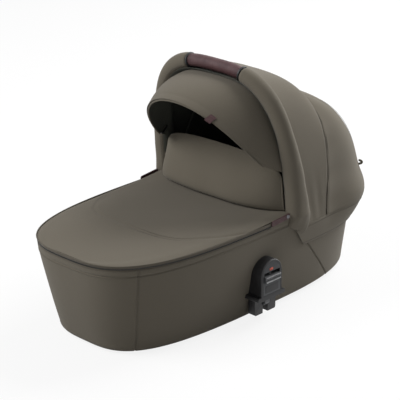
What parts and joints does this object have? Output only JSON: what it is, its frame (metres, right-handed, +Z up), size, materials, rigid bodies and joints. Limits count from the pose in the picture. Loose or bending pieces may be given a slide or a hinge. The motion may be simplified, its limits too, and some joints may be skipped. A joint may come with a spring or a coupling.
{
  "type": "carrycot",
  "caption": "Fabric-covered carrycot with folding hood, padded carry bow, pop-out visor, wind guard, apron and side adapters with release levers.",
  "frame": {"origin": "on the floor under the middle of the carrycot", "axes": "+Z up, -Y towards the foot end, +Y towards the head end and hood, +X to the right of a viewer who stands at the foot end"},
  "size_m": [0.4496, 0.8504, 0.5505],
  "materials": {
    "canvas": "matte woven",
    "lining": "matte",
    "leather": "satin",
    "black_plastic": "satin",
    "dark_plastic": "satin",
    "grey_plastic": "satin",
    "red_plastic": "satin",
    "steel": "brushed",
    "board": "foam board",
    "rubber": "matte",
    "pad": "quilted"
  },
  "bodies": {
    "tub": {"adapter_face_left": "dark_plastic", "adapter_face_right": "dark_plastic", "adapter_housing_left": "black_plastic", "adapter_housing_right": "black_plastic", "apron_panel": "canvas", "base_tray": "black_plastic", "cover_foot": "canvas", "cover_head": "canvas", "cover_left": "canvas", "cover_right": "canvas", "hood_front_panel": "canvas", "hood_joint_left": "dark_plastic", "hood_joint_right": "dark_plastic", "hood_pin_left": "steel", "hood_pin_right": "steel", "hood_rear_panel": "canvas", "hood_skirt": "canvas", "inner_lining": "lining", "joint_cap_left": "canvas", "joint_cap_right": "canvas", "lever_spring_left": "steel", "lever_spring_right": "steel", "mattress": "pad", "piping_lower": "canvas", "piping_upper": "canvas", "rear_loop_left": "canvas", "rear_loop_right": "canvas", "rest_foot_foot_left": "rubber", "rest_foot_foot_right": "rubber", "rest_foot_head_left": "rubber", "rest_foot_head_right": "rubber", "rim_frame": "steel", "side_strap_left": "leather", "side_strap_right": "leather", "side_upright_left": "steel", "side_upright_right": "steel", "wall_board": "board", "zip_band": "canvas"},
    "mid_bow": {"mid_bow": "steel"},
    "carry_bow": {"bow_end_left": "black_plastic", "bow_end_right": "black_plastic", "bumper_left": "canvas", "bumper_right": "canvas", "carry_tube": "steel", "grip_ring_left": "black_plastic", "grip_ring_right": "black_plastic", "grip_sleeve": "leather", "visor_lug_left": "black_plastic", "visor_lug_right": "black_plastic"},
    "visor": {"visor_panel": "canvas", "visor_tab": "leather", "visor_wire": "steel"},
    "wind_guard": {"wind_guard": "canvas"},
    "lever_left": {"release_lever_left": "grey_plastic"},
    "latch_left": {"latch_tongue_left": "grey_plastic"},
    "hood_button_left": {"hood_button_left": "red_plastic"},
    "lever_right": {"release_lever_right": "grey_plastic"},
    "latch_right": {"latch_tongue_right": "grey_plastic"},
    "hood_button_right": {"hood_button_right": "red_plastic"}
  },
  "joints": [
    {"name": "hood_fold", "type": "hinge", "parent": "tub", "child": "carry_bow", "pos_m": [0, 0.08497, 0.242], "axis": [1, 0, 0], "range_deg": [-72, 0], "deforming": ["hood_rear_panel", "hood_front_panel"]},
    {"name": "mid_bow_fold", "type": "hinge", "parent": "tub", "child": "mid_bow", "pos_m": [0, 0.08497, 0.242], "axis": [1, 0, 0], "range_deg": [-54, 0]},
    {"name": "visor_flip", "type": "hinge", "parent": "carry_bow", "child": "visor", "pos_m": [0, 0.0144, 0.345], "axis": [1, 0, 0], "range_deg": [-62, 0], "deforming": ["visor_panel"]},
    {"name": "guard_fold", "type": "hinge", "parent": "tub", "child": "wind_guard", "pos_m": [0, 0.0204, 0.2436], "axis": [1, 0, 0], "range_deg": [0, 70]},
    {"name": "lever_lift_left", "type": "slide", "parent": "tub", "child": "lever_left", "axis": [0, 0, 1], "range_m": [0, 0.008], "stiffness_N_per_m": 600, "springref_m": -0.004, "deforming": ["lever_spring_left"]},
    {"name": "latch_draw_left", "type": "slide", "parent": "tub", "child": "latch_left", "axis": [1, 0, 0], "range_m": [0, 0.005]},
    {"name": "hood_button_press_left", "type": "slide", "parent": "tub", "child": "hood_button_left", "axis": [0, 0, -1], "range_m": [0, 0.0035], "stiffness_N_per_m": 800, "springref_m": -0.002},
    {"name": "lever_lift_right", "type": "slide", "parent": "tub", "child": "lever_right", "axis": [0, 0, 1], "range_m": [0, 0.008], "stiffness_N_per_m": 600, "springref_m": -0.004, "deforming": ["lever_spring_right"]},
    {"name": "latch_draw_right", "type": "slide", "parent": "tub", "child": "latch_right", "axis": [-1, 0, 0], "range_m": [0, 0.005]},
    {"name": "hood_button_press_right", "type": "slide", "parent": "tub", "child": "hood_button_right", "axis": [0, 0, -1], "range_m": [0, 0.0035], "stiffness_N_per_m": 800, "springref_m": -0.002}
  ],
  "couplings": [
    {"joint": "mid_bow_fold", "follows": "hood_fold", "ratio": 0.75},
    {"joint": "latch_draw_left", "follows": "lever_lift_left", "ratio": 0.625},
    {"joint": "latch_draw_right", "follows": "lever_lift_right", "ratio": 0.625}
  ]
}
